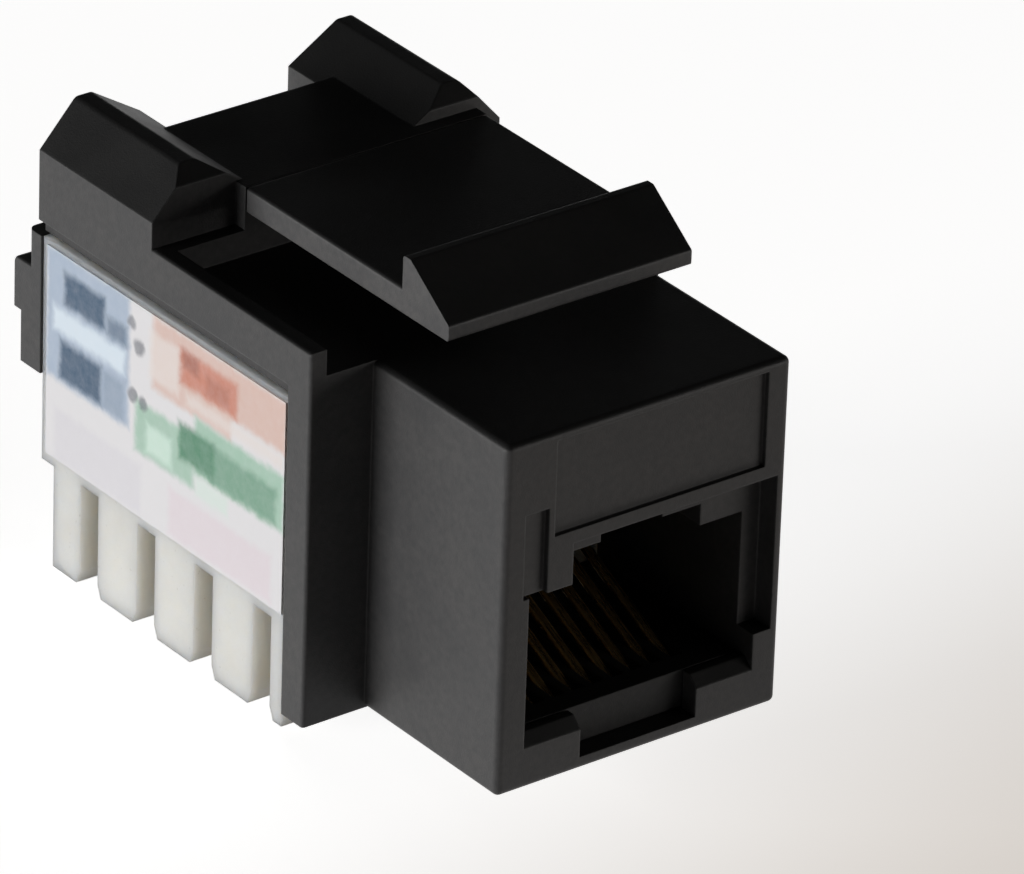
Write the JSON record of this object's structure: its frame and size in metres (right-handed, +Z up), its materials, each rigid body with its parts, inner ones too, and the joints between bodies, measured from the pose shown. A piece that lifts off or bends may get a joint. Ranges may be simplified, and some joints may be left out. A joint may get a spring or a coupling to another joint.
{
  "type": "keystone jack",
  "caption": "Black keystone jack: modular port in front, sprung panel latch on top, ivory wiring block with bottom-opening wire slots and colour labels behind.",
  "frame": {"origin": "middle of the front face, which fills the panel opening", "axes": "+Z up, the front face looks along -Y, the body runs back along +Y, +X to the right seen from the front"},
  "size_m": [0.0178, 0.0303, 0.022],
  "materials": {
    "black_housing": "satin moulded black",
    "black_cap": "satin moulded dark grey",
    "black_carrier": "matte moulded black",
    "ivory_block": "satin moulded ivory",
    "board": "green solder resist",
    "contact_gold": "gold-plated wire",
    "terminal_metal": "tin-plated bronze",
    "label": "printed film in fields of blue, orange and green"
  },
  "bodies": {
    "root": {"jack_housing": "black_housing", "contact_carrier": "black_carrier", "idc_block": "ivory_block", "circuit_board": "board", "rear_cap": "black_cap", "wiring_label_left": "label", "wiring_label_right": "label", "contact_lead_1": "contact_gold", "contact_lead_2": "contact_gold", "contact_lead_3": "contact_gold", "contact_lead_4": "contact_gold", "contact_lead_5": "contact_gold", "contact_lead_6": "contact_gold", "contact_lead_7": "contact_gold", "contact_lead_8": "contact_gold", "idc_terminal_1": "terminal_metal", "idc_terminal_2": "terminal_metal", "idc_terminal_3": "terminal_metal", "idc_terminal_4": "terminal_metal", "idc_terminal_5": "terminal_metal", "idc_terminal_6": "terminal_metal", "idc_terminal_7": "terminal_metal", "idc_terminal_8": "terminal_metal"},
    "latch": {"panel_latch": "black_housing"},
    "spring_1": {"contact_spring_1": "contact_gold"},
    "spring_2": {"contact_spring_2": "contact_gold"},
    "spring_3": {"contact_spring_3": "contact_gold"},
    "spring_4": {"contact_spring_4": "contact_gold"},
    "spring_5": {"contact_spring_5": "contact_gold"},
    "spring_6": {"contact_spring_6": "contact_gold"},
    "spring_7": {"contact_spring_7": "contact_gold"},
    "spring_8": {"contact_spring_8": "contact_gold"}
  },
  "joints": [
    {"name": "latch_flex", "type": "hinge", "parent": "root", "child": "latch", "pos_m": [0, 0.0196, 0.01075], "axis": [1, 0, 0], "range_deg": [0, 7.5], "stiffness_Nm_per_rad": 0.6},
    {"name": "contact_flex_1", "type": "hinge", "parent": "root", "child": "spring_1", "pos_m": [-0.00356, 0.00279, -0.00615], "axis": [1, 0, 0], "range_deg": [-8, 0], "stiffness_Nm_per_rad": 0.02},
    {"name": "contact_flex_2", "type": "hinge", "parent": "root", "child": "spring_2", "pos_m": [-0.00254, 0.00279, -0.00615], "axis": [1, 0, 0], "range_deg": [-8, 0], "stiffness_Nm_per_rad": 0.02},
    {"name": "contact_flex_3", "type": "hinge", "parent": "root", "child": "spring_3", "pos_m": [-0.00152, 0.00279, -0.00615], "axis": [1, 0, 0], "range_deg": [-8, 0], "stiffness_Nm_per_rad": 0.02},
    {"name": "contact_flex_4", "type": "hinge", "parent": "root", "child": "spring_4", "pos_m": [-0.00051, 0.00279, -0.00615], "axis": [1, 0, 0], "range_deg": [-8, 0], "stiffness_Nm_per_rad": 0.02},
    {"name": "contact_flex_5", "type": "hinge", "parent": "root", "child": "spring_5", "pos_m": [0.00051, 0.00279, -0.00615], "axis": [1, 0, 0], "range_deg": [-8, 0], "stiffness_Nm_per_rad": 0.02},
    {"name": "contact_flex_6", "type": "hinge", "parent": "root", "child": "spring_6", "pos_m": [0.00152, 0.00279, -0.00615], "axis": [1, 0, 0], "range_deg": [-8, 0], "stiffness_Nm_per_rad": 0.02},
    {"name": "contact_flex_7", "type": "hinge", "parent": "root", "child": "spring_7", "pos_m": [0.00254, 0.00279, -0.00615], "axis": [1, 0, 0], "range_deg": [-8, 0], "stiffness_Nm_per_rad": 0.02},
    {"name": "contact_flex_8", "type": "hinge", "parent": "root", "child": "spring_8", "pos_m": [0.00356, 0.00279, -0.00615], "axis": [1, 0, 0], "range_deg": [-8, 0], "stiffness_Nm_per_rad": 0.02}
  ]
}
